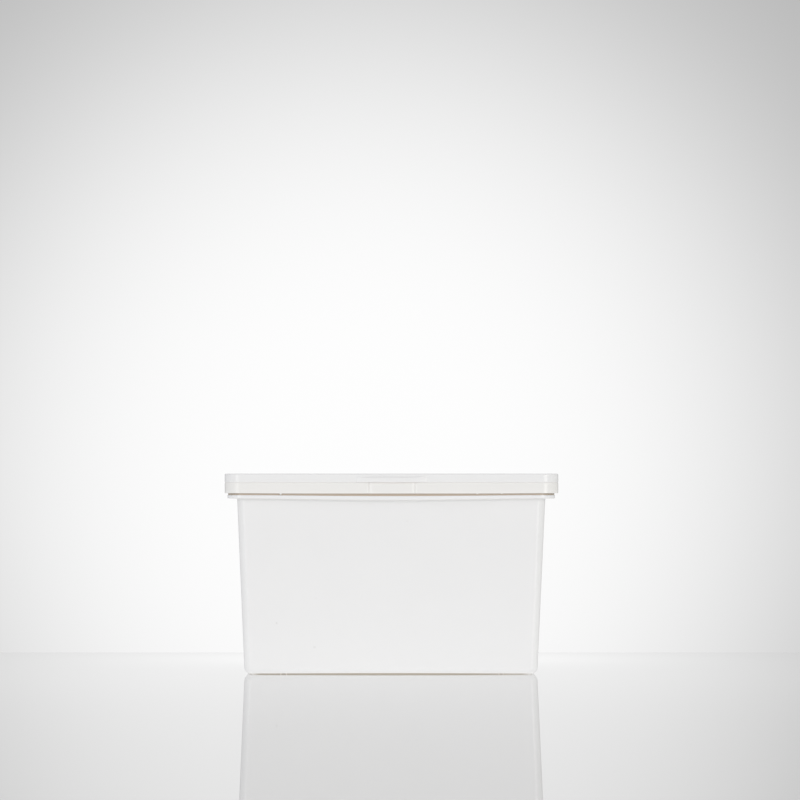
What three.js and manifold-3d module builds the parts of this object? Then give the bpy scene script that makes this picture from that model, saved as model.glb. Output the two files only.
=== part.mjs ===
// Flip-top food tub: a tapered moulded tub, the frame that clips over its rim, and a
// flat lid that flips up on two hinge straps at the back. The tub is shut and opaque,
// so it is one solid up to the underside of the lid.
// Millimetres, +Z up. The origin is on the floor under the middle, the front faces -Y.

import * as THREE from 'three';
import { LoftGeometry } from 'three/addons/geometries/LoftGeometry.js';
import { mergeVertices } from 'three/addons/utils/BufferGeometryUtils.js';
import Module from 'manifold-3d';

// Lid and frame, which share one outline
const LID_WIDTH = 166.75;
const LID_DEPTH = 118;
const LID_CORNER = 8;
const LID_THICKNESS = 4.4;
const LID_TOP_ROUND = 0.6;
const SEAM_HEIGHT = 96;
const SEAM_CHAMFER = 0.3;
const FRAME_HEIGHT = 5.4;
const FRAME_FOOT_BOW = { long: -0.2, short: -0.1 };
const FRAME_FOOT_ROUND = 0.3;
const DECK_THICKNESS = 1.25;
const DECK_REACH = 9.5;

// Shallow panel in the lid's top, which takes the foot of a tub stacked on it
const PANEL_MARGIN = 9;
const PANEL_DEPTH = 0.5;
const PANEL_DRAFT = 0.6;

// Thumb lip on the lid's front edge
const LIP_HALF_LENGTH = 17.4;
const LIP_REACH = 0.8;
const LIP_TOP = 3.4;
const LIP_SLOPE = 1;
const LIP_ROUND = 0.3;
const LIP_STEPS = 16;
const LIP_ROOT = 2;

// Latch tab in the frame's front, between two shallow grooves, and a fingernail scoop under the lip
const TAB_EDGES = [-11.25, 11.6];
const GROOVE_WIDTH = 0.9;
const GROOVE_DEPTH = 0.25;
const SCOOP_DEPTH = 0.6;
const SCOOP_MARGIN = 0.5;

// Broken bridges under the frame's front edge
const BRIDGE_PLACES = [-55.25, 42.8, 55];
const BRIDGE_WIDTH = 0.9;
const BRIDGE_HEIGHT = 0.45;
const BRIDGE_DEPTH = 0.8;

// Hinge straps across the seam at the back
const HINGE_PLACES = { left: -36, right: 36 };
const HINGE_LENGTH = 24;
const HINGE_HEIGHT = 5.6;
const HINGE_SEAT_DEPTH = 0.6;
const HINGE_LINE = 0.25;

// Tub wall and flange
const WALL_INSET = 6.3;
const WALL_CORNER = 4.1;
const WALL_TAPER = 3.8;
const FLANGE_INSET = 1.5;
const FLANGE_CORNER = 7.5;
const FLANGE_UNDERSIDE = 88.1;
const FLANGE_TOP = 89.7;
const FLANGE_ROUND = 0.15;
const FLANGE_FILLET = 0.6;
const FLANGE_UNDERSIDE_BOW = { long: -0.85, short: -0.4 };
const FLANGE_TOP_BOW = { long: -0.45, short: -0.2 };
const NECK_INSET = 0.3;

// Base: rounded edge, foot ring round a raised panel, and small pips at front and back
const BASE_ROUND = 2.9;
const BASE_BOW = { long: 0.15, short: 0.08 };
const BASE_CORNER = 3.6;
const FOOT_HEIGHT = 0.32;
const FOOT_INSET = 0.3;
const FOOT_WIDTH = 5;
const BASE_PANEL_HEIGHT = 1;
const PIP_PLACES = [-55.4, -52.6, 53.8, 55.9];
const PIP_WIDTH = 0.6;
const PIP_DEPTH = 4;
const PIP_REACH = 1.3;
const PIP_HEIGHT = 1;

const CLEARANCE = 0.3;
const SMALLEST_CORNER = 1.5;
const CORNER_STEPS = 8;
const LONG_STEPS = 12;
const SHORT_STEPS = 8;
const ROUND_STEPS = 3;
const BASE_ROUND_STEPS = 5;
const MERGE_DISTANCE = 1e-4;
const NO_BOW = { long: 0, short: 0 };

const FLANGE_REACH = WALL_INSET - FLANGE_INSET;
const NECK_OUTSET = FLANGE_REACH - NECK_INSET;
const BACK = LID_DEPTH / 2;
const FRONT = -LID_DEPTH / 2;

const lidOutline = {
  halfWidth: LID_WIDTH / 2,
  halfDepth: LID_DEPTH / 2,
  cornerAt: (outset) => Math.max(SMALLEST_CORNER, LID_CORNER + outset),
};

// The tub's outline where the wall meets the flange. Its corners open out along the flange.
const wallOutline = {
  halfWidth: LID_WIDTH / 2 - WALL_INSET,
  halfDepth: LID_DEPTH / 2 - WALL_INSET,
  cornerAt(outset) {
    if (outset > 0) {
      return WALL_CORNER + (outset * (FLANGE_CORNER - WALL_CORNER)) / FLANGE_REACH;
    }
    const share = Math.min(1, -outset / WALL_TAPER);
    const corner = THREE.MathUtils.lerp(WALL_CORNER, BASE_CORNER, share);
    return Math.max(SMALLEST_CORNER, corner + Math.min(0, outset + WALL_TAPER));
  },
};

const white = (color, roughness) =>
  new THREE.MeshStandardMaterial({ color, roughness, metalness: 0 });
const tubPlastic = white(0xf0f0ef, 0.38);
const framePlastic = white(0xf1efeb, 0.34);
const lidPlastic = white(0xf1f1f0, 0.34);

// Solids from closed geometries, and back, for cuts and joins

const wasm = await Module();
wasm.setup();

function solidFrom(geometry) {
  const bare = new THREE.BufferGeometry();
  bare.setAttribute('position', geometry.attributes.position);
  bare.setIndex(geometry.index);
  const merged = mergeVertices(bare, MERGE_DISTANCE);
  return new wasm.Manifold(new wasm.Mesh({
    numProp: 3,
    vertProperties: merged.attributes.position.array,
    triVerts: new Uint32Array(merged.index.array),
  }));
}

function geometryFrom(solid) {
  const { vertProperties, triVerts } = solid.getMesh();
  const geometry = new THREE.BufferGeometry();
  geometry.setAttribute('position', new THREE.BufferAttribute(vertProperties, 3));
  geometry.setIndex(new THREE.BufferAttribute(triVerts, 1));
  geometry.computeVertexNormals();
  return geometry;
}

const joined = (first, ...others) => others.reduce((sum, next) => sum.add(solidFrom(next)), first);
const cut = (first, ...others) => others.reduce((rest, next) => rest.subtract(solidFrom(next)), first);

function named(name, solid, material) {
  const mesh = new THREE.Mesh(geometryFrom(solid), material);
  mesh.name = name;
  return mesh;
}

// One ring round an outline grown by outset, counterclockwise from above. The middle of
// each side is lifted by the bow, along a curve that runs out flat at the corners.
function ring(outline, outset, height, bow = NO_BOW) {
  const corner = outline.cornerAt(outset);
  const straight = {
    x: outline.halfWidth + outset - corner,
    y: outline.halfDepth + outset - corner,
  };
  const points = [];
  for (let quarter = 0; quarter < 4; quarter++) {
    const centre = {
      x: quarter === 0 || quarter === 3 ? straight.x : -straight.x,
      y: quarter < 2 ? straight.y : -straight.y,
    };
    for (let step = 0; step <= CORNER_STEPS; step++) {
      const angle = ((quarter + step / CORNER_STEPS) * Math.PI) / 2;
      const x = centre.x + corner * Math.cos(angle);
      const y = centre.y + corner * Math.sin(angle);
      points.push(new THREE.Vector3(x, y, height));
    }
    const isLong = quarter % 2 === 0;
    const steps = isLong ? LONG_STEPS : SHORT_STEPS;
    const along = new THREE.Vector3(isLong ? straight.x : 0, isLong ? 0 : straight.y, 0);
    if (quarter > 1) along.negate();
    const middle = points.at(-1).clone().sub(along);
    for (let step = 1; step < steps; step++) {
      const share = 1 - (2 * step) / steps;
      const point = middle.clone().addScaledVector(along, share);
      point.z += (isLong ? bow.long : bow.short) * (1 - share * share) ** 2;
      points.push(point);
    }
  }
  return points;
}

// A quarter round in the (outset, height) plane, as points from one angle to another in degrees
function quarterRound(outset, height, radius, from, to, steps = ROUND_STEPS) {
  return Array.from({ length: steps + 1 }, (_, step) => {
    const angle = THREE.MathUtils.degToRad(THREE.MathUtils.lerp(from, to, step / steps));
    return [outset + radius * Math.cos(angle), height + radius * Math.sin(angle)];
  });
}

const rings = (outline, profile, bow) =>
  profile.map(([outset, height]) => ring(outline, outset, height, bow));
const loft = (sections) => new LoftGeometry(sections, { capStart: true, capEnd: true });
const closedLoft = (sections) => new LoftGeometry([...sections, sections[0]]);

function box(width, depth, height, x, y, z) {
  return new THREE.BoxGeometry(width, depth, height).translate(x, y, z);
}

// Tub

function makeTub() {
  const footOutset = -WALL_TAPER - BASE_ROUND - FOOT_INSET;
  const wallAt = (height) => (WALL_TAPER * (height - FLANGE_UNDERSIDE)) / FLANGE_UNDERSIDE;
  const baseTop = FOOT_HEIGHT + BASE_ROUND;
  const baseOutset = wallAt(baseTop) - BASE_ROUND;
  const foot = [[footOutset, 0], [footOutset, FOOT_HEIGHT]];
  const baseEdge = quarterRound(baseOutset, baseTop, BASE_ROUND, -90, 0, BASE_ROUND_STEPS);
  const underside = [
    [wallAt(FLANGE_UNDERSIDE - FLANGE_FILLET), FLANGE_UNDERSIDE - FLANGE_FILLET],
    [FLANGE_FILLET, FLANGE_UNDERSIDE],
    ...quarterRound(FLANGE_REACH - FLANGE_ROUND, FLANGE_UNDERSIDE + FLANGE_ROUND, FLANGE_ROUND, -90, 0),
  ];
  const upperside = [
    ...quarterRound(FLANGE_REACH - FLANGE_ROUND, FLANGE_TOP - FLANGE_ROUND, FLANGE_ROUND, 0, 90),
    [NECK_OUTSET, FLANGE_TOP],
  ];
  const rim = SEAM_HEIGHT - DECK_THICKNESS;
  const coreOutset = WALL_INSET - DECK_REACH - CLEARANCE;
  const neck = [[NECK_OUTSET, rim], [coreOutset, rim], [coreOutset, SEAM_HEIGHT]];
  const body = loft([
    ...rings(wallOutline, foot),
    ...rings(wallOutline, baseEdge.slice(0, 1), BASE_BOW),
    ...rings(wallOutline, baseEdge.slice(1)),
    ...rings(wallOutline, underside, FLANGE_UNDERSIDE_BOW),
    ...rings(wallOutline, upperside, FLANGE_TOP_BOW),
    ...rings(wallOutline, neck),
  ]);

  const panelOutset = footOutset - FOOT_WIDTH;
  const panel = [[panelOutset, -BASE_PANEL_HEIGHT], [panelOutset - PANEL_DRAFT, BASE_PANEL_HEIGHT]];
  const pipFront = wallOutline.halfDepth + footOutset + PIP_REACH;
  const pips = [];
  for (const x of PIP_PLACES) {
    for (const side of [-1, 1]) {
      const y = side * (pipFront - PIP_DEPTH / 2);
      pips.push(box(PIP_WIDTH, PIP_DEPTH, PIP_HEIGHT, x, y, PIP_HEIGHT / 2));
    }
  }
  return joined(cut(solidFrom(body), loft(rings(wallOutline, panel))), ...pips);
}

// Frame, with z = 0 at the seam

function tabGroove(x) {
  return box(GROOVE_WIDTH, 2 * GROOVE_DEPTH, 3 * FRAME_HEIGHT, x, FRONT, 0);
}

// A slope of 45 degrees on the frame's top front edge, deepest in the middle of the lip
function fingernailScoop() {
  const sections = Array.from({ length: LIP_STEPS + 1 }, (_, step) => {
    const share = (2 * step) / LIP_STEPS - 1;
    const x = share * LIP_HALF_LENGTH;
    const depth = SCOOP_DEPTH * (1 - share * share);
    return [
      new THREE.Vector3(x, FRONT - SCOOP_MARGIN, -depth - SCOOP_MARGIN),
      new THREE.Vector3(x, FRONT + depth + SCOOP_MARGIN, SCOOP_MARGIN),
      new THREE.Vector3(x, FRONT - SCOOP_MARGIN, SCOOP_MARGIN),
    ];
  });
  return loft(sections);
}

function hingeSeat(x) {
  const length = HINGE_LENGTH + 2 * CLEARANCE;
  const height = HINGE_HEIGHT + 2 * CLEARANCE;
  return box(length, 2 * HINGE_SEAT_DEPTH, height, x, BACK, 0);
}

function makeFrame() {
  const neckClear = NECK_OUTSET + CLEARANCE - WALL_INSET;
  const foot = -FRAME_HEIGHT;
  const footEdge = [
    [neckClear, foot],
    ...quarterRound(-FRAME_FOOT_ROUND, foot + FRAME_FOOT_ROUND, FRAME_FOOT_ROUND, -90, 0),
  ];
  const topAndInside = [
    [0, -SEAM_CHAMFER],
    [-SEAM_CHAMFER, 0],
    [-DECK_REACH, 0],
    [-DECK_REACH, -DECK_THICKNESS],
    [neckClear, -DECK_THICKNESS],
  ];
  const bridges = BRIDGE_PLACES.map((x) => {
    const y = FRONT + FRAME_FOOT_ROUND + BRIDGE_DEPTH / 2;
    return box(BRIDGE_WIDTH, BRIDGE_DEPTH, 2 * BRIDGE_HEIGHT, x, y, foot);
  });
  const band = closedLoft([
    ...rings(lidOutline, footEdge, FRAME_FOOT_BOW),
    ...rings(lidOutline, topAndInside),
  ]);
  return cut(
    joined(solidFrom(band), ...bridges),
    ...TAB_EDGES.map(tabGroove),
    fingernailScoop(),
    ...Object.values(HINGE_PLACES).map(hingeSeat),
  );
}

// Flip lid, with z = 0 at the seam

// A shallow arc in plan that stands out of the front edge, from its sloped top to its rounded foot
function thumbLip() {
  const levels = [
    [LIP_ROUND / 2, LIP_REACH - LIP_ROUND],
    [LIP_ROUND * 2, LIP_REACH],
    [LIP_TOP - LIP_SLOPE, LIP_REACH],
    [LIP_TOP, -LIP_ROUND],
  ];
  const sections = levels.map(([height, reach]) => {
    const points = [];
    for (let step = 0; step <= LIP_STEPS; step++) {
      const share = (2 * step) / LIP_STEPS - 1;
      const y = FRONT + LIP_ROUND - (reach + LIP_ROUND) * (1 - share * share);
      points.push(new THREE.Vector3(share * LIP_HALF_LENGTH, y, height));
    }
    points.push(new THREE.Vector3(LIP_HALF_LENGTH, FRONT + LIP_ROOT, height));
    points.push(new THREE.Vector3(-LIP_HALF_LENGTH, FRONT + LIP_ROOT, height));
    return points;
  });
  return loft(sections);
}

function makeFlipLid() {
  const slab = loft(rings(lidOutline, [
    [-SEAM_CHAMFER, 0],
    [0, SEAM_CHAMFER],
    ...quarterRound(-LID_TOP_ROUND, LID_THICKNESS - LID_TOP_ROUND, LID_TOP_ROUND, 0, 90),
  ]));
  const panel = loft(rings(lidOutline, [
    [-PANEL_MARGIN - PANEL_DRAFT, LID_THICKNESS - PANEL_DEPTH],
    [-PANEL_MARGIN, LID_THICKNESS],
    [-PANEL_MARGIN, LID_THICKNESS + PANEL_DEPTH],
  ]));
  const lid = joined(solidFrom(slab), thumbLip());
  return cut(lid, panel, ...Object.values(HINGE_PLACES).map(hingeSeat));
}

// Hinge strap: flat against its seat, bulging out of the back, with a thin line at the seam

function makeHingeStrap(x) {
  const half = HINGE_HEIGHT / 2;
  const seat = BACK - HINGE_SEAT_DEPTH;
  const out = BACK + LIP_REACH;
  const shape = new THREE.Shape();
  shape.moveTo(seat, -half);
  shape.quadraticCurveTo(out, -half, out, -HINGE_LINE);
  shape.lineTo(out - HINGE_LINE, 0);
  shape.lineTo(out, HINGE_LINE);
  shape.quadraticCurveTo(out, half, seat, half);
  const strap = new THREE.ExtrudeGeometry(shape, {
    depth: HINGE_LENGTH,
    bevelEnabled: false,
    curveSegments: BASE_ROUND_STEPS,
  });
  const turn = new THREE.Matrix4().makeBasis(
    new THREE.Vector3(0, 1, 0),
    new THREE.Vector3(0, 0, 1),
    new THREE.Vector3(1, 0, 0),
  );
  return solidFrom(strap.applyMatrix4(turn).translate(x - HINGE_LENGTH / 2, 0, 0));
}

const closure = new THREE.Group();
closure.position.z = SEAM_HEIGHT;
closure.add(named('lid_frame', makeFrame(), framePlastic));
closure.add(named('flip_lid', makeFlipLid(), lidPlastic));
for (const [side, x] of Object.entries(HINGE_PLACES)) {
  closure.add(named(`hinge_strap_${side}`, makeHingeStrap(x), framePlastic));
}

const part = new THREE.Group();
part.add(named('tub', makeTub(), tubPlastic));
part.add(closure);

export default part;
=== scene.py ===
# A shut flip-top food tub of white moulded plastic, standing on a glossy pale sheet.
# Metres, +Z up, the front faces -Y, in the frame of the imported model.

import bpy
import numpy as np
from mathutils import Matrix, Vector


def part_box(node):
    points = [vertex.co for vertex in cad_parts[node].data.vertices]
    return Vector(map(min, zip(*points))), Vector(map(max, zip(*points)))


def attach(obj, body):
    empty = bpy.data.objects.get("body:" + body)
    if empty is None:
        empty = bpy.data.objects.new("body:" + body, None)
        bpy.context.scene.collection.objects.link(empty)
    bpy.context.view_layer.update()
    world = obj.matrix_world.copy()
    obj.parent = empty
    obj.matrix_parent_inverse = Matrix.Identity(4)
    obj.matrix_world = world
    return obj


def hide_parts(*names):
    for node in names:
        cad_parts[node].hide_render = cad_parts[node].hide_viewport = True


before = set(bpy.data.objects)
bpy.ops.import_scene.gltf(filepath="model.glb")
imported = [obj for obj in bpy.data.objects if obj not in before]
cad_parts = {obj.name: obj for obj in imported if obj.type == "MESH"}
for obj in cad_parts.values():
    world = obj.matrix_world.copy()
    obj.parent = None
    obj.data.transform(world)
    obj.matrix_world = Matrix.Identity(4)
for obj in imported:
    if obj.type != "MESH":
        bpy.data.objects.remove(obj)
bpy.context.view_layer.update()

# Tub
# The body is one injection moulding of white polypropylene. Its walls taper to a rounded base edge
# on a low foot ring, and the stiff flange round the rim has bowed down along each side as it cooled.

tub_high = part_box("tub")[1]
FLANGE_REACH = 0.0048
WALL_TAPER = 0.0038
WALL_CORNER = 0.0041
FLANGE_CORNER = 0.0075
BASE_CORNER = 0.0036
SMALLEST_CORNER = 0.0008
FLANGE_UNDERSIDE = 0.0881
FLANGE_TOP = 0.0897
FLANGE_ROUND = 0.00015
FLANGE_FILLET = 0.0008
NECK_INSET = 0.0003
NECK_ROUND = FLANGE_ROUND / 4
RIM_DROP = 0.00125
CORE_OUTSET = -0.0034
BASE_ROUND = 0.0029
FOOT_HEIGHT = 0.00032
FOOT_INSET = 0.0003
FOOT_WIDTH = 0.005
FOOT_ROUND = 0.0002
BASE_PANEL_HEIGHT = 0.001
PANEL_DRAFT = 0.0006
EDGE_ROUND = 0.0003

# The lift at the middle of the long sides, the share of it that the short sides have, the height over
# which it fades into the wall, and how far the tub stands and leans to the left under its lid.
UNDERSIDE_BOW = -0.00085
FLANGE_TOP_BOW = -0.00046
BASE_BOW = 0.00015
SHORT_SIDE_BOW = 0.5
BOW_FADE = 0.01
TUB_SHIFT = -0.00013
TUB_LEAN = -0.00014

# The count of places along a side of the tub, how far from the side's ends the outer ones are, and
# the closest that two places and two points of a profile may be.
TUB_PLACES = 40
END_MARGIN = 0.0003
CLOSEST_PLACES = 0.00002
CLOSEST_POINTS = 1e-7

# The tub's white, and its painted light and shade: a painted light on the fillet under the flange
# and on the base edge, a painted light that grows lighter and cooler up the flange's face, a tan
# painted shade on the neck in the gap under the frame, and a painted shade at the neck's corners
# and on the foot, where it is weaker on the right and at the corners.
TUB_WHITE = (0.85, 0.85, 0.855, 1)
TUB_ROUGHNESS = 0.22
RIM_PAINTED_LIGHT = (0.99, 0.985, 0.97, 1)
BASE_EDGE_SHARE = 0.7
BASE_EDGE_HEIGHT = 0.0016
FLANGE_PAINTED_LIGHT = (0.862, 0.877, 0.908, 1)
GAP_PAINTED_SHADE = (0.578, 0.479, 0.39, 1)
SHADE_OLIVE = (0.48, 0.42, 0.335, 1)
FOOT_SHADE_REACH = 0.00025
FOOT_SHADE_FADE = (0.04, 0.07)
FOOT_SHADE_RIGHT = 0.7
FOOT_SHADE_END = 0.96
FOOT_SHADE_CORNER = 0.35

# The clouds and the ripple in the plastic, and the dust on the tub's front: each speck is (x, z,
# half width, half height, strength).
CLOUD_SCALE = 45
CLOUD_DETAIL = 3
CLOUD_SHADE = 0.98
CLOUD_GLOSS = 0.08
RIPPLE_SCALE = 700
RIPPLE_DETAIL = 2
RIPPLE_HEIGHT = 0.00004
RIPPLE_STRENGTH = 0.05
PLASTIC_IOR = 1.49
DUST_GREY = (0.3, 0.29, 0.27, 1)
DUST_SPECKS = [
    (-0.0574, 0.0257, 0.0005, 0.0007, 0.16),
    (-0.0385, 0.0137, 0.0009, 0.0006, 0.11),
    (-0.0378, 0.0382, 0.0006, 0.0005, 0.05),
    (0.0078, 0.0767, 0.0006, 0.0006, 0.05),
]


def smooth_step(value, low, high):
    """0 up to low, 1 from high on, and 3 t^2 - 2 t^3 of the share t between them."""
    share = np.clip((value - low) / (high - low), 0, 1)
    return share * share * (3 - 2 * share)


def rounded_profile(corners, closed=False, arc_steps=6, ease=0.00015):
    """Points (outset, height) along straight legs from corner to corner, each (outset, height, radius).
    An arc touches both legs at radius * tan(turn / 2) from its corner, and its points are
    start + radius * (leg * sin(a) + side * (1 - cos(a))). A point on each leg, off the arc by ease
    or by a quarter of the leg's free length, keeps the leg flat under smooth shading."""
    corners = np.array(corners, float)
    places = corners[:, :2]
    radii = corners[:, 2]
    leg_in = places - np.roll(places, 1, axis=0)
    length_in = np.linalg.norm(leg_in, axis=1)
    leg_in = leg_in / length_in[:, None]
    leg_out = np.roll(leg_in, -1, axis=0)
    cross = leg_in[:, 0] * leg_out[:, 1] - leg_in[:, 1] * leg_out[:, 0]
    turn = np.arctan2(cross, (leg_in * leg_out).sum(axis=1))
    reach = radii * np.tan(np.abs(turn) / 2)
    spare_in = length_in - reach - np.roll(reach, 1)
    ease_in = np.minimum(ease, spare_in / 4)
    ease_out = np.roll(ease_in, -1)
    side = np.stack([-leg_in[:, 1], leg_in[:, 0]], axis=1) * np.sign(turn)[:, None]
    angle = np.abs(turn)[:, None, None] * np.linspace(0, 1, arc_steps + 1)[None, :, None]
    start = (places - leg_in * reach[:, None])[:, None]
    bend = leg_in[:, None] * np.sin(angle) + side[:, None] * (1 - np.cos(angle))
    arcs = start + radii[:, None, None] * bend
    before = (places - leg_in * (reach + ease_in)[:, None])[:, None]
    after = (places + leg_out * (reach + ease_out)[:, None])[:, None]
    points = np.concatenate([before, arcs, after], axis=1)
    if closed:
        points = points.reshape(-1, 2)
    else:
        points = np.vstack([places[:1], points[1:-1].reshape(-1, 2), places[-1:]])
    step = np.linalg.norm(np.diff(points, axis=0), axis=1)
    return points[np.append(True, step > CLOSEST_POINTS)]


def side_places(straight, count, *closer):
    """Places along a straight side, from -1 to 1 of its half length: evenly spread, one close to
    each end, and those in the closer sets, which are in metres from the middle. A place too close
    to the one before it is left out."""
    even = np.linspace(-straight, straight, count + 1)[1:-1]
    end = straight - END_MARGIN
    places = np.sort(np.concatenate([even, [-end, end], *closer]))
    return places[np.append(True, np.diff(places) > CLOSEST_PLACES)] / straight


def outline_columns(front, back, short, corner_steps=14):
    """Columns of a rounded rectangle, counterclockwise from above: arrays u, v, c and s, for points at
    (u * half straight width + corner * c, v * half straight depth + corner * s)."""
    quarter = np.linspace(0, np.pi / 2, corner_steps + 1)
    one = np.ones_like
    parts = []
    for turn, places in enumerate([back[::-1], short[::-1], front, short]):
        sign_u = 1 if turn in (0, 3) else -1
        sign_v = 1 if turn in (0, 1) else -1
        angle = quarter + turn * np.pi / 2
        parts.append([sign_u * one(angle), sign_v * one(angle), np.cos(angle), np.sin(angle)])
        along = one(places)
        facing = turn * np.pi / 2 + np.pi / 2
        ways = [places, sign_v * along] if turn in (0, 2) else [sign_u * along, places]
        parts.append([*ways, np.round(np.cos(facing)) * along, np.round(np.sin(facing)) * along])
    return np.concatenate(parts, axis=1)


def carry_round(columns, half_width, half_depth, corner, height, bow=0.0, short_bow=0.0, bow_shape=(2, 2)):
    """A grid of points: each row is a rounded rectangle of its own half sizes, corner radius and
    height. The middle of each side is lifted by its bow, times (1 - place^a)^b along the side for
    the bow's shape (a, b)."""
    u, v, c, s = columns
    half_width, half_depth, corner, height, bow, short_bow = (
        np.reshape(np.broadcast_to(value, height.shape), (-1, 1))
        for value in (half_width, half_depth, corner, height, bow, short_bow)
    )
    x = u * (half_width - corner) + c * corner
    y = v * (half_depth - corner) + s * corner
    power, ease = bow_shape
    z = height + bow * (1 - u**power) ** ease + short_bow * (1 - v**power) ** ease
    return np.stack([x, y, z], axis=-1)


def shell(name, *grids, closed=False):
    """A mesh object of grids of points whose columns wrap round. The rows wrap too where the profile
    is closed, and otherwise the first and last row are each filled by one flat face."""
    points = []
    faces = []
    flat = []
    first = 0
    for grid in grids:
        rows, columns = grid.shape[:2]
        index = first + np.arange(rows * columns).reshape(rows, columns)
        below = index if closed else index[:-1]
        above = np.roll(index, -1, axis=0) if closed else index[1:]
        quads = np.stack([below, np.roll(below, -1, 1), np.roll(above, -1, 1), above], axis=-1)
        ends = [] if closed else [index[0][::-1].tolist(), index[-1].tolist()]
        quads = quads.reshape(-1, 4).tolist()
        faces += quads + ends
        flat += [False] * len(quads) + [True] * len(ends)
        points.append(grid.reshape(-1, 3))
        first += rows * columns
    mesh = bpy.data.meshes.new(name)
    mesh.from_pydata(np.concatenate(points), [], faces)
    mesh.polygons.foreach_set("use_smooth", ~np.array(flat))
    mesh.update()
    piece = bpy.data.objects.new(name, mesh)
    bpy.context.scene.collection.objects.link(piece)
    return piece


class Shade:
    """A socket in a material's node tree. Arithmetic on it adds Math nodes, and node() any other."""

    def __init__(self, tree, socket=None):
        self.tree = tree
        self.socket = socket

    def node(self, kind, settings, sockets, output=0):
        """One output of a new node, whose settings are set first and then its sockets."""
        made = self.tree.nodes.new(kind)
        for name, value in settings.items():
            setattr(made, name, value)
        for name, value in sockets.items():
            self.feed(made.inputs[name], value)
        return Shade(self.tree, made.outputs[output])

    def feed(self, target, value):
        """Links a shade to a socket, or sets a plain value on it."""
        if isinstance(value, Shade):
            self.tree.links.new(value.socket, target)
        else:
            target.default_value = value

    def math(self, operation, *values):
        """A Math node on shades and numbers."""
        return self.node("ShaderNodeMath", {"operation": operation}, dict(enumerate(values)))

    def __add__(self, other):
        return self.math("ADD", self, other)

    __radd__ = __add__

    def __mul__(self, other):
        return self.math("MULTIPLY", self, other)

    __rmul__ = __mul__

    def __sub__(self, other):
        return self.math("SUBTRACT", self, other)

    def __rsub__(self, other):
        return self.math("SUBTRACT", other, self)

    def __truediv__(self, other):
        return self.math("DIVIDE", self, other)

    def __rtruediv__(self, other):
        return self.math("DIVIDE", other, self)


def mix_colour(shade, share, first, second):
    """first where share is 0, second where it is 1. The Mix node's colour sockets go by number, as
    its sockets for numbers and vectors have the same names."""
    sockets = {0: share, 6: first, 7: second}
    return shade.node("ShaderNodeMix", {"data_type": "RGBA"}, sockets, 2)


def parts_of(shade, vector, axes):
    """The parts of a vector along the named axes, such as "XZ"."""
    return [shade.node("ShaderNodeSeparateXYZ", {}, {"Vector": vector}, axis) for axis in axes]


def noise(shade, place, scale, detail):
    """Smooth random values round a half, in blotches of about 1 / scale."""
    return shade.node("ShaderNodeTexNoise", {}, {"Vector": place, "Scale": scale, "Detail": detail})


def mark(piece, name, shares):
    """Keeps a share for each point of a piece, for a painted light or shade in its material to follow."""
    piece.data.attributes.new(name, "FLOAT", "POINT").data.foreach_set("value", np.ravel(shares))


def moulded_plastic(name, white, roughness, painted_tints, specks=()):
    """Satin white polypropylene: faint clouds in its colour and gloss, the fine ripple of a moulded
    skin, a painted light or shade wherever the piece is marked for it, and any dust specks on the
    front, each (x, z, half width, half height, strength)."""
    material = bpy.data.materials.new(name)
    material.use_nodes = True
    tree = material.node_tree
    plastic = tree.nodes["Principled BSDF"]
    shade = Shade(tree)
    place = shade.node("ShaderNodeTexCoord", {}, {}, "Object")
    cloud = noise(shade, place, CLOUD_SCALE, CLOUD_DETAIL)
    ripple = noise(shade, place, RIPPLE_SCALE, RIPPLE_DETAIL)
    dark = tuple(CLOUD_SHADE * value for value in white[:3]) + (1,)
    colour = mix_colour(shade, cloud, white, dark)
    for mark_name, tint in painted_tints.items():
        share = shade.node("ShaderNodeAttribute", {"attribute_name": mark_name}, {}, "Fac")
        colour = mix_colour(shade, share, colour, tint)
    if specks:
        x, y, z = parts_of(shade, place, "XYZ")
        dust = 0.0
        for at_x, at_z, half_width, half_height, strength in specks:
            across = (x - at_x) / half_width
            up = (z - at_z) / half_height
            inside = shade.math("MAXIMUM", 1 - (across * across + up * up), 0.0)
            dust = shade.math("SQRT", inside) * strength + dust
        dust = dust * shade.math("LESS_THAN", y, 0.0)
        colour = mix_colour(shade, dust, colour, DUST_GREY)
    shade.feed(plastic.inputs["Base Color"], colour)
    shade.feed(plastic.inputs["Roughness"], cloud * CLOUD_GLOSS + (roughness - CLOUD_GLOSS / 2))
    bump = {"Height": ripple, "Strength": RIPPLE_STRENGTH, "Distance": RIPPLE_HEIGHT}
    shade.feed(plastic.inputs["Normal"], shade.node("ShaderNodeBump", {}, bump))
    plastic.inputs["IOR"].default_value = PLASTIC_IOR
    return material


def dress(piece, material, slot, *nodes):
    """Gives a piece its plastic, hangs it on the tub's body and hides the imported solids it stands for.
    """
    piece.data.materials.append(material)
    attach(piece, "root")
    if nodes:
        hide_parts(*nodes)


wall_half_width = tub_high.x - FLANGE_REACH
wall_half_depth = tub_high.y - FLANGE_REACH
rim = tub_high.z - RIM_DROP
wall_foot = -WALL_TAPER * (1 - FOOT_HEIGHT / FLANGE_UNDERSIDE)
neck_outset = FLANGE_REACH - NECK_INSET
foot_outset = -WALL_TAPER - BASE_ROUND - FOOT_INSET
panel_outset = foot_outset - FOOT_WIDTH

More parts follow.
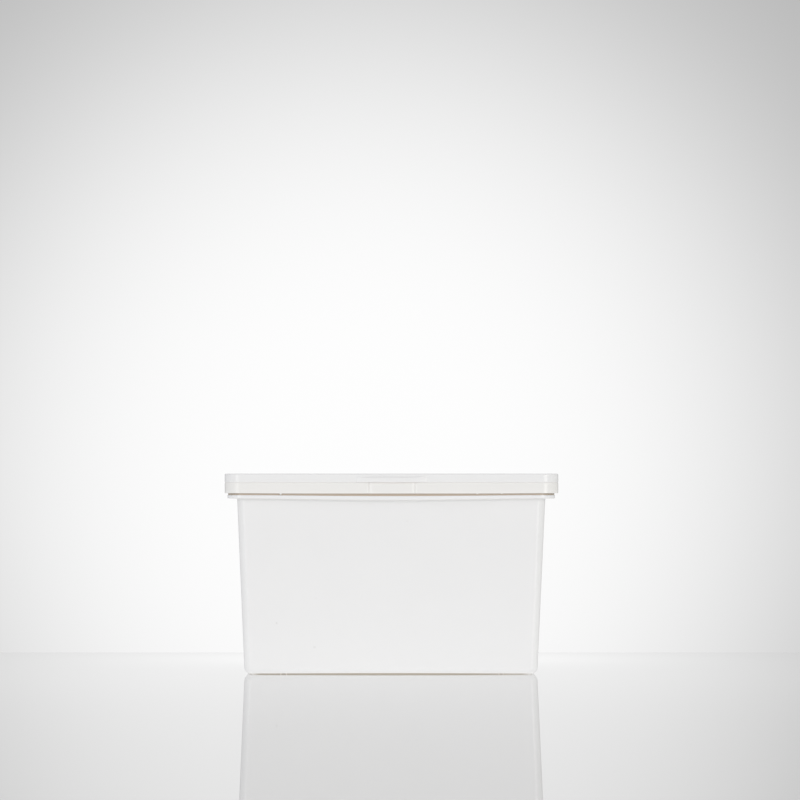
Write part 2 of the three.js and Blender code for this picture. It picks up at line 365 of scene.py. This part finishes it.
# The profile runs from the panel under the base, round the foot and up the wall, the flange and the
# neck to the top of the core that fills the frame.
tub_profile = rounded_profile([
    (panel_outset - FOOT_WIDTH, BASE_PANEL_HEIGHT, 0),
    (panel_outset - PANEL_DRAFT, BASE_PANEL_HEIGHT, EDGE_ROUND),
    (panel_outset, 0, FOOT_ROUND),
    (foot_outset, 0, FOOT_ROUND),
    (foot_outset, FOOT_HEIGHT, FOOT_ROUND / 2),
    (wall_foot, FOOT_HEIGHT, BASE_ROUND),
    (0, FLANGE_UNDERSIDE, FLANGE_FILLET),
    (FLANGE_REACH, FLANGE_UNDERSIDE, FLANGE_ROUND),
    (FLANGE_REACH, FLANGE_TOP, FLANGE_ROUND),
    (neck_outset, FLANGE_TOP, NECK_ROUND),
    (neck_outset, rim, EDGE_ROUND),
    (CORE_OUTSET, rim, FOOT_ROUND),
    (CORE_OUTSET, tub_high.z, 0),
])
outset, height = tub_profile.T
wall_corner = np.interp(
    outset,
    [-WALL_TAPER - BASE_CORNER, -WALL_TAPER, 0, FLANGE_REACH],
    [SMALLEST_CORNER, BASE_CORNER, WALL_CORNER, FLANGE_CORNER],
)

# Along the middle of each side the base edge is lifted and the flange hangs, and the wall leans more
# the lower it is.
base_share = np.interp(height, [FOOT_HEIGHT, FOOT_HEIGHT + BASE_ROUND], [1, 0])
base_share = base_share * smooth_step(outset, foot_outset, foot_outset + FOOT_INSET)
flange_bow = np.interp(
    height,
    [FLANGE_UNDERSIDE - BOW_FADE, FLANGE_UNDERSIDE, FLANGE_TOP, rim],
    [0, UNDERSIDE_BOW, FLANGE_TOP_BOW, 0],
)
tub_bow = BASE_BOW * base_share + flange_bow
tub_straight = wall_half_width - WALL_CORNER
tub_sides = side_places(tub_straight, TUB_PLACES)
tub_columns = outline_columns(tub_sides, tub_sides, tub_sides)
tub_grid = carry_round(
    tub_columns,
    wall_half_width + outset,
    wall_half_depth + outset,
    wall_corner,
    height,
    tub_bow,
    tub_bow * SHORT_SIDE_BOW,
)
lean = np.clip(1 - height / FLANGE_UNDERSIDE, 0, 1)[:, None]
tub_grid[..., 0] += TUB_SHIFT + TUB_LEAN * lean
tub = shell("tub_body", tub_grid)

# Each painted light and shade follows the height and the outset, and the painted shade on the foot
# and at the neck's corners follows the place along the side as well.
# The neck, seen in the gap under the frame, takes a tan painted shade.
on_neck = (height > FLANGE_TOP - NECK_ROUND) & (outset < neck_outset + NECK_ROUND)
below_edge = height < FOOT_HEIGHT + FOOT_ROUND / 4
on_foot = below_edge & (outset > foot_outset - FOOT_SHADE_REACH)
# Painted light on the fillet under the flange, where shade falls.
rim_painted_light = np.interp(
    height,
    [FLANGE_UNDERSIDE - FLANGE_FILLET, FLANGE_UNDERSIDE, FLANGE_UNDERSIDE + FLANGE_ROUND],
    [0, 1, 0],
)
# Painted light, lighter and cooler up the flange's face to its top edge, in the shade of the frame.
flange_painted_light = np.interp(height, [FLANGE_UNDERSIDE + FLANGE_ROUND, FLANGE_TOP], [0, 1])
# Painted light on the rounding of the base edge, where shade falls, added to the light under the flange.
base_edge = BASE_EDGE_SHARE * np.interp(height, [FOOT_HEIGHT, BASE_EDGE_HEIGHT], [1, 0])
for name, shares in {"rim_painted_light": rim_painted_light + base_edge, "flange_painted_light": flange_painted_light, "gap_painted_shade": on_neck}.items():
    mark(tub, name, np.repeat(shares.astype(float), tub_grid.shape[1]))
u, v, c, s = tub_columns
to_corner = np.minimum(np.abs(u), np.abs(v))
foot_shade = np.interp(tub_grid[..., 0], FOOT_SHADE_FADE, [1, FOOT_SHADE_RIGHT])
foot_shade = foot_shade * np.interp(to_corner, [FOOT_SHADE_END, 1], [1, FOOT_SHADE_CORNER])
neck_shade = np.abs(c * s)
mark(tub, "in_shade", on_foot[:, None] * foot_shade + on_neck[:, None] * neck_shade)
# The tub's plastic takes each mark's painted light or shade, and the dust specks.
tub_plastic = moulded_plastic(
    "tub plastic",
    TUB_WHITE,
    TUB_ROUGHNESS,
    {"rim_painted_light": RIM_PAINTED_LIGHT, "flange_painted_light": FLANGE_PAINTED_LIGHT, "gap_painted_shade": GAP_PAINTED_SHADE, "in_shade": SHADE_OLIVE},
    DUST_SPECKS,
)
dress(tub, tub_plastic, "tub_plastic", "tub")

# Pips
# Eight narrow pips under the base edge, part of the tub's moulding. They stand on the floor in front
# of and behind the foot ring.

PIP_PLACES = (-0.0554, -0.0526, 0.0538, 0.0559)
PIP_HALF_WIDTH = 0.0003
PIP_HALF_DEPTH = 0.002
PIP_REACH = 0.0013
PIP_HEIGHT = 0.001
PIP_CORNER = 0.00025
PIP_CORNER_STEPS = 5
PIP_CORNER_SHARE = 0.8
PIP_SIDE_PLACES = (-0.6, 0, 0.6)
PIP_ROUND = 0.00012
PIP_PAINTED_SHADE_SHARE = 0.6

pip_profile = rounded_profile([
    (-PIP_CORNER, 0, 0),
    (0, 0, PIP_ROUND),
    (0, PIP_HEIGHT, PIP_ROUND),
    (-PIP_CORNER, PIP_HEIGHT, 0),
])
pip_side = np.array(PIP_SIDE_PLACES)
pip_grid = carry_round(
    outline_columns(pip_side, pip_side, pip_side, PIP_CORNER_STEPS),
    PIP_HALF_WIDTH + pip_profile[:, 0],
    PIP_HALF_DEPTH + pip_profile[:, 0],
    PIP_CORNER + pip_profile[:, 0] * PIP_CORNER_SHARE,
    pip_profile[:, 1],
)
pip_line = wall_half_depth + foot_outset + PIP_REACH - PIP_HALF_DEPTH
pip_grids = [pip_grid + np.array([x, y, 0]) for x in PIP_PLACES for y in (-pip_line, pip_line)]
pips = shell("base_pips", *pip_grids)
# The pips stand in the dark gap under the base and take part of the gap's painted shade.
mark(pips, "gap_painted_shade", np.full(len(pips.data.vertices), PIP_PAINTED_SHADE_SHARE))
dress(pips, tub_plastic, "tub_plastic")

# Lid frame
# A band of moulded white polypropylene that snaps over the tub's rim and carries the flip lid. Its
# front has a latch tab between two shallow grooves, a fingernail scoop under the lip, and stubs of
# broken seal bridges.

frame_low, frame_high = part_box("lid_frame")
LID_CORNER = 0.008
SEAM_CHAMFER = 0.0003
SEAM_SOFT = 0.0001
FRAME_FOOT_ROUND = 0.00025
FRAME_FOOT_BOW = -0.00018
FRAME_FOOT_BOW_SHAPE = (4, 1)
DECK_REACH = 0.0095
NECK_CLEAR = -0.0015
SCOOP_DEPTH = 0.0006
LIP_HALF_LENGTH = 0.0174

# Each edge of the tab by its place: its slit's half width and depth, then the left and the right
# wall, each (width, depth).
TAB_EDGES = {
    -0.01118: (0.0005, 0.00027, (0.0005, 0.00005), (0.001, 0.0002)),
    0.0117: (0.0005, 0.0003, (0.001, 0.00014), (0.0007, 0.00014)),
}
GROOVE_REACH = 0.0017

# Each stub by its place: how far it hangs under the frame's foot.
BRIDGES = {-0.05525: 0.0007, 0.0428: 0.0004, 0.055: 0.0003}
BRIDGE_HALF_WIDTH = 0.00045
BRIDGE_HEIGHT = 0.0005
BRIDGE_DEPTH = 0.0008
BRIDGE_FRONT = -0.00005
BRIDGE_SOFT = 0.00015

# The seats of the two hinge straps, in the back of the frame and of the lid.
HINGE_NODES = ("hinge_strap_left", "hinge_strap_right")
strap_boxes = [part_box(node) for node in HINGE_NODES]
hinge_places = [(low.x + high.x) / 2 for low, high in strap_boxes]
SEAT_HALF_LENGTH = 0.0123
SEAT_HALF_HEIGHT = 0.0031
SEAT_DEPTH = 0.0006
SEAT_SOFT = 0.0003

# Counts of places along a whole side, and close together at each feature.
FRAME_PLACES = 60
SHORT_SIDE_PLACES = 8
GROOVE_PLACES = 69
BRIDGE_PLACES = 25
LIP_PLACES = 49
SEAT_END_PLACES = 9

# The frame's white, and a painted light that lifts the shade in the seam's chamfer, and how much of it
# the seam, the scoop under the lip and the foot's edge take.
FRAME_WHITE = (0.857, 0.85, 0.835, 1)
FRAME_ROUGHNESS = 0.2
SEAM_PAINTED_LIGHT = (0.98, 0.955, 0.935, 1)
SEAM_SHARE = 0.3
SCOOP_SHARE = 0.42
FOOT_EDGE_SHARE = 0.15


def around(centres, half, count):
    """Even places within half of each centre."""
    return np.add.outer(np.asarray(centres), np.linspace(-half, half, count)).ravel()


def plateau(distance, half, soft):
    """1 within half of the middle, falling smoothly to 0 over a soft edge centred on half."""
    return 1 - smooth_step(np.abs(distance), half - soft / 2, half + soft / 2)


def tab_groove(offset, half_slit, slit_depth, left_wall, right_wall):
    """Depth across one edge of the tab: a slit of V shape between two sloped walls, each (width,
    depth), that rise in a straight line from the slit's rim to the face."""
    aside = np.abs(offset)
    width, rim_depth = (np.where(offset < 0, *pair) for pair in zip(left_wall, right_wall))
    wall = np.clip(1 - (aside - half_slit) / width, 0, 1)
    slit = np.clip(1 - aside / half_slit, 0, 1)
    bottom = slit_depth + max(left_wall[1], right_wall[1])
    return rim_depth * wall + (bottom - rim_depth) * slit


def press_hinge_seats(grid, columns, from_seam):
    """Presses the seats of the hinge straps into the back face, as deep as the straps' roots."""
    back = (columns[3] == 1) & (columns[1] == 1)
    along = sum(plateau(grid[..., 0] - x, SEAT_HALF_LENGTH, SEAT_SOFT) for x in hinge_places)
    near = plateau(from_seam, SEAT_HALF_HEIGHT, SEAT_SOFT)
    grid[..., 1] -= SEAT_DEPTH * back * along * near


lid_half_width = frame_high.x
lid_half_depth = frame_high.y
lid_straight = lid_half_width - LID_CORNER
seam = frame_high.z
frame_foot = frame_low.z + BRIDGE_HEIGHT
bridge_back = -FRAME_FOOT_ROUND - BRIDGE_DEPTH

# The profile runs round the band: out along its foot, up the face, in over the deck and back under it.
frame_profile = rounded_profile([
    (NECK_CLEAR, frame_foot, FOOT_ROUND),
    (bridge_back - BRIDGE_SOFT, frame_foot, 0),
    (bridge_back, frame_foot, 0),
    (0, frame_foot, FRAME_FOOT_ROUND),
    (0, seam - SEAT_HALF_HEIGHT, 0),
    (0, seam - SEAM_CHAMFER, SEAM_SOFT),
    (-SEAM_CHAMFER, seam, SEAM_SOFT),
    (-DECK_REACH, seam, FOOT_ROUND),
    (-DECK_REACH, seam - RIM_DROP, FOOT_ROUND),
    (NECK_CLEAR, seam - RIM_DROP, FOOT_ROUND),
], closed=True)
outset, height = frame_profile.T[:, :, None]
seat_ends = np.add.outer(hinge_places, [-SEAT_HALF_LENGTH, SEAT_HALF_LENGTH]).ravel()
lip_places = np.linspace(-LIP_HALF_LENGTH, LIP_HALF_LENGTH, LIP_PLACES)
frame_front = side_places(
    lid_straight,
    FRAME_PLACES,
    around(list(TAB_EDGES), GROOVE_REACH, GROOVE_PLACES),
    around(list(BRIDGES), 2 * BRIDGE_HALF_WIDTH, BRIDGE_PLACES),
    lip_places,
)
lid_back = side_places(lid_straight, FRAME_PLACES, around(seat_ends, SEAT_SOFT, SEAT_END_PLACES))
lid_short = side_places(lid_straight, SHORT_SIDE_PLACES)
frame_columns = outline_columns(frame_front, lid_back, lid_short)
foot_bow = np.interp(
    height[:, 0],
    [frame_foot + FRAME_FOOT_ROUND, seam - SEAT_HALF_HEIGHT],
    [FRAME_FOOT_BOW, 0],
)
frame_grid = carry_round(
    frame_columns,
    lid_half_width + outset[:, 0],
    lid_half_depth + outset[:, 0],
    np.maximum(LID_CORNER + outset[:, 0], SMALLEST_CORNER),
    height[:, 0],
    foot_bow,
    foot_bow * SHORT_SIDE_BOW,
    FRAME_FOOT_BOW_SHAPE,
)
on_front = (frame_columns[3] == -1) & (frame_columns[1] == -1)
x = frame_grid[..., 0]

# The grooves go into the front face. The scoop cuts down the face and back along the seam's chamfer.
groove = sum(tab_groove(x - place, *shape) for place, shape in TAB_EDGES.items())
on_face = smooth_step(outset, -2 * FRAME_FOOT_ROUND, -FRAME_FOOT_ROUND)
frame_grid[..., 1] += groove * on_front * on_face
scoop = np.maximum(SCOOP_DEPTH * (1 - (x / LIP_HALF_LENGTH) ** 2) - SEAM_CHAMFER, 0) * on_front
up_chamfer = np.clip(1 + (height - seam) / SEAM_CHAMFER, 0, 1)
by_chamfer = (height > seam - 2 * SEAM_CHAMFER) & (outset > -2 * SEAM_CHAMFER)
frame_grid[..., 2] -= scoop * (1 - up_chamfer) * by_chamfer
frame_grid[..., 1] += scoop * up_chamfer * by_chamfer

# Each stub draws a short stretch of the foot's front edge down to its own length.
low = height < seam - RIM_DROP
under = (outset > bridge_back - BRIDGE_SOFT / 2) & (outset < BRIDGE_FRONT) & low & on_front
on_bridge = 0
for place, reach in BRIDGES.items():
    share = plateau(x - place, BRIDGE_HALF_WIDTH, BRIDGE_SOFT) * under
    frame_grid[..., 2] += (frame_foot - reach - frame_grid[..., 2]) * share
    on_bridge = on_bridge + share
press_hinge_seats(frame_grid, frame_columns, height - seam)

# The frame's plastic takes a painted light on the seam's chamfer, stronger in the scoop under the lip, and
# on the foot's edge and, in full, on the stubs, where shade falls.
frame_plastic = moulded_plastic("frame plastic", FRAME_WHITE, FRAME_ROUGHNESS, {"seam_painted_light": SEAM_PAINTED_LIGHT})
lid_frame = shell("lid_frame_band", frame_grid, closed=True)
seam_painted_light = SEAM_SHARE + SCOOP_SHARE * scoop / scoop.max()
on_edge = (outset > -FRAME_FOOT_ROUND) & (height < frame_foot + 2 * FRAME_FOOT_ROUND)
seam_painted_light = seam_painted_light * (by_chamfer & (up_chamfer > 0)) + FOOT_EDGE_SHARE * on_edge
mark(lid_frame, "seam_painted_light", np.maximum(seam_painted_light, on_bridge))
dress(lid_frame, frame_plastic, "frame_plastic", "lid_frame")

# Flip lid
# A flat lid moulded of the same plastic, shut on the frame and hinged to it at the back. It has a low
# thumb lip on its front edge, and a shallow panel on top that takes the foot of a tub stacked on it.

lid_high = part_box("flip_lid")[1]
LID_TOP_ROUND = 0.0006
TOP_PANEL_MARGIN = 0.009
TOP_PANEL_DEPTH = 0.0005
LIP_MIDDLE_REACH = 0.0007
LIP_END_REACH = 0.0002
LIP_END_SOFT = 0.0007
LIP_CROWN_POWER = 4
LIP_TOP = 0.0032
LIP_SLOPE = 0.001
LIP_LEVELS = 9
LIP_LEVEL_MARGIN = 0.1
LIP_END_PLACES = 15
LID_WHITE = (0.855, 0.855, 0.86, 1)
LID_ROUGHNESS = 0.2

# The profile runs from the seam up the edge and in over the top to the panel, with rows close together
# where the top of the lip slopes back to the edge.
lip_levels = np.linspace(
    LIP_TOP - (1 + LIP_LEVEL_MARGIN) * LIP_SLOPE,
    LIP_TOP + LIP_LEVEL_MARGIN * LIP_SLOPE,
    LIP_LEVELS,
)
lid_profile = rounded_profile([
    (-DECK_REACH / 2, seam, 0),
    (-SEAM_CHAMFER, seam, SEAM_SOFT),
    (0, seam + SEAM_CHAMFER, SEAM_SOFT),
    *[(0, seam + level, 0) for level in lip_levels],
    (0, lid_high.z, LID_TOP_ROUND),
    (-TOP_PANEL_MARGIN, lid_high.z, EDGE_ROUND),
    (-TOP_PANEL_MARGIN - PANEL_DRAFT, lid_high.z - TOP_PANEL_DEPTH, EDGE_ROUND),
    (-TOP_PANEL_MARGIN - FOOT_WIDTH, lid_high.z - TOP_PANEL_DEPTH, 0),
])
outset, height = lid_profile.T[:, :, None]
lid_front = side_places(
    lid_straight,
    FRAME_PLACES,
    lip_places,
    around([-LIP_HALF_LENGTH, LIP_HALF_LENGTH], LIP_END_SOFT, LIP_END_PLACES),
)
lid_columns = outline_columns(lid_front, lid_back, lid_short)
lid_grid = carry_round(
    lid_columns,
    lid_half_width + outset[:, 0],
    lid_half_depth + outset[:, 0],
    np.maximum(LID_CORNER + outset[:, 0], SMALLEST_CORNER),
    height[:, 0],
)
on_front = (lid_columns[3] == -1) & (lid_columns[1] == -1)
x = lid_grid[..., 0]
crown = np.maximum(1 - (x / LIP_HALF_LENGTH) ** LIP_CROWN_POWER, 0)
lip = LIP_END_REACH * plateau(x, LIP_HALF_LENGTH, LIP_END_SOFT)
lip = lip + (LIP_MIDDLE_REACH - LIP_END_REACH) * crown
below_slope = 1 - smooth_step(height, seam + LIP_TOP - LIP_SLOPE, seam + LIP_TOP)
lid_grid[..., 1] -= lip * on_front * below_slope
press_hinge_seats(lid_grid, lid_columns, height - seam)
# The lid's plastic takes a painted light on its seam chamfer, stronger over the scoop.
lid_plastic = moulded_plastic("lid plastic", LID_WHITE, LID_ROUGHNESS, {"seam_painted_light": SEAM_PAINTED_LIGHT})
flip_lid = shell("flip_lid_plate", lid_grid)
seam_painted_light = SEAM_SHARE + SCOOP_SHARE * crown * on_front
mark(flip_lid, "seam_painted_light", seam_painted_light * (height < seam + SEAM_CHAMFER))
dress(flip_lid, lid_plastic, "lid_plastic", "flip_lid")

# Hinge straps
# Two live hinges of the frame's plastic, moulded across the seam at the back. Each strap bulges out of
# its seat and thins to a line at the seam, where it bends.

STRAP_END_ROUND = 0.001
STRAP_END_SHARE = 0.35
STRAP_END_STEPS = 6
STRAP_ARC_STEPS = 48
STRAP_ROOT_RISE = 0.5
STRAP_LINE_DEPTH = 0.0005
STRAP_LINE_HALF_WIDTH = 0.0004

strap_low, strap_high = strap_boxes[0]
strap_half_length = (strap_high.x - strap_low.x) / 2
strap_half_height = (strap_high.z - strap_low.z) / 2
strap_bulge = strap_high.y - strap_low.y

# Along the strap, each end is a quarter of an ellipse that shrinks its section to STRAP_END_SHARE.
past_end = np.linspace(0, 1, STRAP_END_STEPS + 1)
end_share = STRAP_END_SHARE + (1 - STRAP_END_SHARE) * np.sqrt(1 - past_end**2)
end_places = strap_half_length - STRAP_END_ROUND * (1 - past_end)
along = np.concatenate([-end_places[::-1], end_places])[:, None]
swell = np.concatenate([end_share[::-1], end_share])[:, None]

# The section is half an ellipse with a line pressed into its middle by a bell curve, and two points
# on the seat that close it.
rise = np.sin(np.linspace(-np.pi / 2, np.pi / 2, STRAP_ARC_STEPS + 1))
line = np.exp(-((rise * strap_half_height / STRAP_LINE_HALF_WIDTH) ** 2))
bulge = strap_bulge * np.sqrt(1 - rise**2) - STRAP_LINE_DEPTH * line
rise = np.append(rise, [STRAP_ROOT_RISE, -STRAP_ROOT_RISE])
bulge = np.append(bulge, [0, 0])
for node, place in zip(HINGE_NODES, hinge_places):
    strap_grid = np.stack(np.broadcast_arrays(
        place + along,
        strap_low.y + bulge * swell,
        seam + rise * strap_half_height * swell,
    ), axis=-1)
    strap = shell(node.replace("strap", "web"), strap_grid)
    dress(strap, frame_plastic, "frame_plastic", node)

# Sheet and backdrop
# The tub stands on a glossy white sheet of plastic that ends a quarter of a metre behind it, in front
# of a pale backdrop that glows behind the tub.

SHEET_BACK = 0.31
SHEET_FRONT = -3.5
SHEET_HALF_WIDTH = 3.0
BACKDROP_PLACE = 2.6
BACKDROP_HALF_WIDTH = 3.2
BACKDROP_LOW = -1.2
BACKDROP_HIGH = 2.6

# The sheet's own light, which is stronger near the tub and strongest just behind it, and its mirror,
# which shows at low angles only.
SHEET_WHITE = (0.3, 0.3, 0.3, 1)
SHEET_NEAR = (0.65, 0.65, 0.65, 1)
SHEET_FAR = (0.25, 0.25, 0.25, 1)
SHEET_GLOW_REACH = 0.45
SHEET_GLOW_POWER = 1.2
SHEET_BRIGHT = (1.3, 1.3, 1.3, 1)
SHEET_BRIGHT_PLACE = 0.2
SHEET_BRIGHT_REACH = 0.125
SHEET_BRIGHT_POWER = 2
MIRROR_GREY = (0.895, 0.895, 0.895, 1)
MIRROR_ROUGHNESS = 0.01
MIRROR_POWER = 5
MIRROR_FROM = 0.75
MIRROR_RAMP = 0.15

# The backdrop's glow round a middle at (x, z).
GLOW_PLACE = (-0.0233, 0.1068)
GLOW_REACH = 0.461
GLOW_STRETCH = 0.954
GLOW_POWER = 3.47
GLOW_MIDDLE = (0.988, 0.988, 0.988, 1)
GLOW_EDGE = (0.452, 0.452, 0.452, 1)


def flat_panel(name, corners):
    """One flat four-sided panel through its corners, with a bare material. Gives a shade to build the
    material with and the socket of its surface."""
    mesh = bpy.data.meshes.new(name)
    mesh.from_pydata(corners, [], [(0, 1, 2, 3)])
    panel = bpy.data.objects.new(name, mesh)
    bpy.context.scene.collection.objects.link(panel)
    material = bpy.data.materials.new(name)
    material.use_nodes = True
    mesh.materials.append(material)
    nodes = material.node_tree.nodes
    nodes.remove(nodes["Principled BSDF"])
    return Shade(material.node_tree), nodes["Material Output"].inputs["Surface"]


def glow_share(shade, across, along, reach, power):
    """exp(-(distance / reach)^power), which is 1 in the middle and fades to 0 far from it."""
    distance = shade.math("SQRT", across * across + along * along) / reach
    return shade.math("EXPONENT", shade.math("POWER", distance, power) * -1.0)


shade, sheet_surface = flat_panel("sheet", [
    (-SHEET_HALF_WIDTH, SHEET_FRONT, 0),
    (SHEET_HALF_WIDTH, SHEET_FRONT, 0),
    (SHEET_HALF_WIDTH, SHEET_BACK, 0),
    (-SHEET_HALF_WIDTH, SHEET_BACK, 0),
])
place = shade.node("ShaderNodeTexCoord", {}, {}, "Object")
across, along = parts_of(shade, place, "XY")
near = glow_share(shade, across, along, SHEET_GLOW_REACH, SHEET_GLOW_POWER)
behind = along - SHEET_BRIGHT_PLACE
bright = glow_share(shade, across, behind, SHEET_BRIGHT_REACH, SHEET_BRIGHT_POWER)
sheet_light = mix_colour(shade, bright, mix_colour(shade, near, SHEET_FAR, SHEET_NEAR), SHEET_BRIGHT)
milky = shade.node("ShaderNodeBsdfDiffuse", {}, {"Color": SHEET_WHITE})
lit = shade.node("ShaderNodeEmission", {}, {"Color": sheet_light})
sheet_body = shade.node("ShaderNodeAddShader", {}, {0: milky, 1: lit})
mirror = shade.node("ShaderNodeBsdfGlossy", {}, {"Color": MIRROR_GREY, "Roughness": MIRROR_ROUGHNESS})
edge_on = shade.node("ShaderNodeLayerWeight", {}, {}, "Facing")
low_angle = shade.math("MINIMUM", (edge_on - MIRROR_FROM) / MIRROR_RAMP, 1.0)
gloss_share = shade.math("POWER", edge_on, MIRROR_POWER) * shade.math("MAXIMUM", low_angle, 0.0)
glossy = shade.node("ShaderNodeMixShader", {}, {0: gloss_share, 1: sheet_body, 2: mirror})
shade.feed(sheet_surface, glossy)

shade, backdrop_surface = flat_panel("backdrop", [
    (-BACKDROP_HALF_WIDTH, BACKDROP_PLACE, BACKDROP_LOW),
    (BACKDROP_HALF_WIDTH, BACKDROP_PLACE, BACKDROP_LOW),
    (BACKDROP_HALF_WIDTH, BACKDROP_PLACE, BACKDROP_HIGH),
    (-BACKDROP_HALF_WIDTH, BACKDROP_PLACE, BACKDROP_HIGH),
])
place = shade.node("ShaderNodeTexCoord", {}, {}, "Object")
across, up = parts_of(shade, place, "XZ")
stretched_up = (up - GLOW_PLACE[1]) * GLOW_STRETCH
bright = glow_share(shade, across - GLOW_PLACE[0], stretched_up, GLOW_REACH, GLOW_POWER)
backdrop_light = mix_colour(shade, bright, GLOW_EDGE, GLOW_MIDDLE)
shade.feed(backdrop_surface, shade.node("ShaderNodeEmission", {}, {"Color": backdrop_light}))

# Light and camera
# Even studio light, with a wide soft box on each side of the camera and one above and behind the tub,
# and a long lens at the height of the lid.

WALLS_LIGHT = (0.943, 0.944, 0.954, 1)
RIGHT_WALL_LIGHT = (0.903, 0.899, 0.864, 1)
CEILING_LIGHT = (0.42, 0.42, 0.42, 1)

# Each soft box's turn round the tub from the camera in degrees, its distance, the height of its
# middle, its width, power and colour.
SOFT_BOXES = {
    "left": (-24.5, 3.4, 0.52, 1.25, 10.4, (1, 1, 1)),
    "right": (23.5, 3.4, 0.52, 1.15, 16.2, (1, 0.98, 0.93)),
    "back": (180, 1.5, 1.5, 1, 8, (1, 1, 1)),
}
BOX_HEIGHT = 1.0

# The camera's place, the scale at the plane of the tub's outline, and in pixels the picture's size,
# the column of the tub's middle and the row of the horizon.
EYE_DISTANCE = 3.0
EYE_HEIGHT = 0.102
SENSOR = 36
PIXELS_PER_METRE = 2000
OUTLINE_PLACE = -0.051
PICTURE_SIZE = 800
MIDDLE_COLUMN = 391.5
HORIZON_ROW = 470.5

room = bpy.data.worlds.new("room")
room.use_nodes = True
shade = Shade(room.node_tree)
way = shade.node("ShaderNodeTexCoord", {}, {}, "Generated")
to_right, up = parts_of(shade, way, "XZ")
walls = mix_colour(shade, shade.math("MAXIMUM", to_right, 0.0), WALLS_LIGHT, RIGHT_WALL_LIGHT)
room_light = mix_colour(shade, up * up, walls, CEILING_LIGHT)
shade.feed(room.node_tree.nodes["Background"].inputs["Color"], room_light)
bpy.context.scene.world = room
for side, (turn, distance, raised, width, power, colour) in SOFT_BOXES.items():
    angle = np.radians(turn)
    soft_box = bpy.data.lights.new(f"soft box {side}", "AREA")
    soft_box.shape = "RECTANGLE"
    soft_box.size = width
    soft_box.size_y = BOX_HEIGHT
    soft_box.energy = power
    soft_box.color = colour
    lamp = bpy.data.objects.new(f"soft box {side}", soft_box)
    lamp.location = (distance * np.sin(angle), -distance * np.cos(angle), raised)
    aim = Vector((0, 0, lid_high.z / 2)) - lamp.location
    lamp.rotation_euler = aim.to_track_quat("-Z", "Y").to_euler()
    lamp.visible_camera = False
    lamp.visible_glossy = side != "back"
    bpy.context.scene.collection.objects.link(lamp)

lens = bpy.data.cameras.new("camera")
lens.sensor_width = SENSOR
lens.lens = PIXELS_PER_METRE * SENSOR / PICTURE_SIZE * (EYE_DISTANCE + OUTLINE_PLACE)
camera = bpy.data.objects.new("camera", lens)
camera.location = (0, -EYE_DISTANCE, EYE_HEIGHT)
pixel_angle = SENSOR / PICTURE_SIZE / lens.lens
tilt = (HORIZON_ROW - PICTURE_SIZE / 2) * pixel_angle
pan = (MIDDLE_COLUMN - PICTURE_SIZE / 2) * pixel_angle
camera.rotation_euler = (np.pi / 2 + tilt, 0, pan)
bpy.context.scene.collection.objects.link(camera)
bpy.context.scene.camera = camera
bpy.context.scene.view_settings.view_transform = "Standard"
